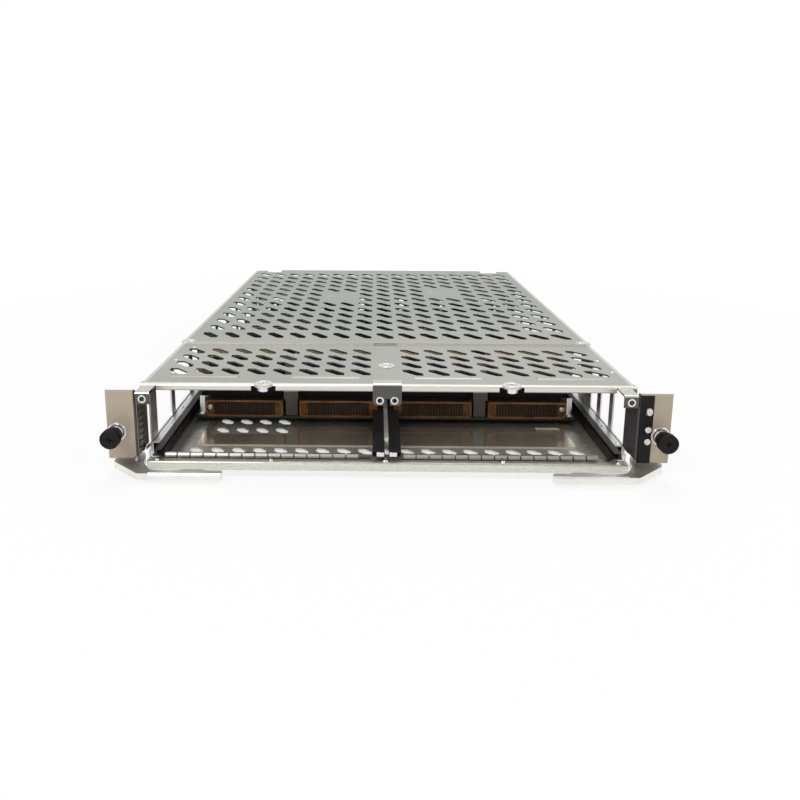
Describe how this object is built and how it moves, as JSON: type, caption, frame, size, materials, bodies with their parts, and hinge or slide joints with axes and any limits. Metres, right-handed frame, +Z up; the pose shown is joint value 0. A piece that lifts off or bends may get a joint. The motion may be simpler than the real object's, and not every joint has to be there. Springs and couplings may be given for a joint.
{
  "type": "service card",
  "caption": "Flat sheet-metal service card with perforated covers, open front bays with guides and connectors, end plates with thumbscrews and ejector levers.",
  "frame": {"origin": "middle of the underside of the overall box", "axes": "+X to the right seen from the front, +Y from front to rear, +Z up"},
  "size_m": [0.399, 0.5522, 0.065],
  "materials": {
    "zinc_sheet": "zinc-plated satin sheet steel",
    "polished_sheet": "polished sheet steel",
    "spring_sheet": "bright spring sheet",
    "plate_finish": "warm grey satin coating on steel",
    "plated_hardware": "bright plated steel",
    "lever_metal": "satin cast metal",
    "bare_aluminium": "bare extruded aluminium",
    "black_plastic": "black moulded plastic",
    "dark_plastic": "dark moulding compound",
    "amber_plastic": "amber brown moulded plastic",
    "board_green": "green laminate",
    "clear_lens": "clear moulded light guide"
  },
  "bodies": {
    "card": {"backplane_connectors": "black_plastic", "base_tray": "zinc_sheet", "bay_connector_1": "amber_plastic", "bay_connector_2": "amber_plastic", "bay_connector_3": "amber_plastic", "bay_connector_4": "amber_plastic", "bay_floor_plate": "polished_sheet", "board_standoffs": "plated_hardware", "bulkhead": "zinc_sheet", "button_switch": "black_plastic", "centre_bracket": "zinc_sheet", "centre_divider": "zinc_sheet", "centre_left_rail": "black_plastic", "centre_right_rail": "black_plastic", "centre_top_rail": "zinc_sheet", "chips": "dark_plastic", "connector_pins": "plated_hardware", "connector_wafers": "black_plastic", "cover_screws": "plated_hardware", "front_cover": "zinc_sheet", "guide_sockets": "black_plastic", "indicator_strip": "black_plastic", "left_corner_bracket": "zinc_sheet", "left_end_plate": "plate_finish", "left_ferrule": "plated_hardware", "left_guide_rail": "black_plastic", "left_heatsink": "bare_aluminium", "left_lever_pin": "plated_hardware", "left_plate_gasket": "spring_sheet", "left_post": "zinc_sheet", "left_rail_ledge": "zinc_sheet", "left_side_wall": "zinc_sheet", "lower_left_gasket": "spring_sheet", "lower_lens": "clear_lens", "lower_right_gasket": "spring_sheet", "main_board": "board_green", "power_modules": "dark_plastic", "rear_cover": "zinc_sheet", "rear_shield": "zinc_sheet", "rear_wall": "zinc_sheet", "right_corner_bracket": "zinc_sheet", "right_end_plate": "plate_finish", "right_ferrule": "plated_hardware", "right_guide_rail": "black_plastic", "right_heatsink": "bare_aluminium", "right_lever_pin": "plated_hardware", "right_post": "zinc_sheet", "right_rail_ledge": "zinc_sheet", "right_side_wall": "zinc_sheet", "seam_beam": "zinc_sheet", "upper_lens": "clear_lens"},
    "left_lever_arm": {"left_lever": "lever_metal"},
    "right_lever_arm": {"right_lever": "lever_metal"},
    "left_screw_slider": {"left_retaining_ring": "plated_hardware"},
    "right_screw_slider": {"right_retaining_ring": "plated_hardware"},
    "left_thumbscrew": {"left_knob": "black_plastic", "left_captive_screw": "plated_hardware"},
    "right_thumbscrew": {"right_knob": "black_plastic", "right_captive_screw": "plated_hardware"},
    "button": {"release_button": "black_plastic"}
  },
  "joints": [
    {"name": "left_lever_swing", "type": "hinge", "parent": "card", "child": "left_lever_arm", "pos_m": [-0.187, -0.24585, 0.0055], "axis": [0, 0, -1], "range_deg": [0, 50]},
    {"name": "left_screw_push", "type": "slide", "parent": "card", "child": "left_screw_slider", "axis": [0, 1, 0], "range_m": [0, 0.004], "stiffness_N_per_m": 300},
    {"name": "left_screw_turn", "type": "hinge", "parent": "left_screw_slider", "child": "left_thumbscrew", "pos_m": [-0.1925, -0.26485, 0.03312], "axis": [0, 1, 0], "continuous": true},
    {"name": "right_lever_swing", "type": "hinge", "parent": "card", "child": "right_lever_arm", "pos_m": [0.187, -0.24585, 0.0055], "axis": [0, 0, 1], "range_deg": [0, 50]},
    {"name": "right_screw_push", "type": "slide", "parent": "card", "child": "right_screw_slider", "axis": [0, 1, 0], "range_m": [0, 0.004], "stiffness_N_per_m": 300},
    {"name": "right_screw_turn", "type": "hinge", "parent": "right_screw_slider", "child": "right_thumbscrew", "pos_m": [0.1925, -0.26485, 0.03312], "axis": [0, 1, 0], "continuous": true},
    {"name": "button_press", "type": "slide", "parent": "card", "child": "button", "axis": [0, 1, 0], "range_m": [0, 0.0008], "stiffness_N_per_m": 500}
  ]
}
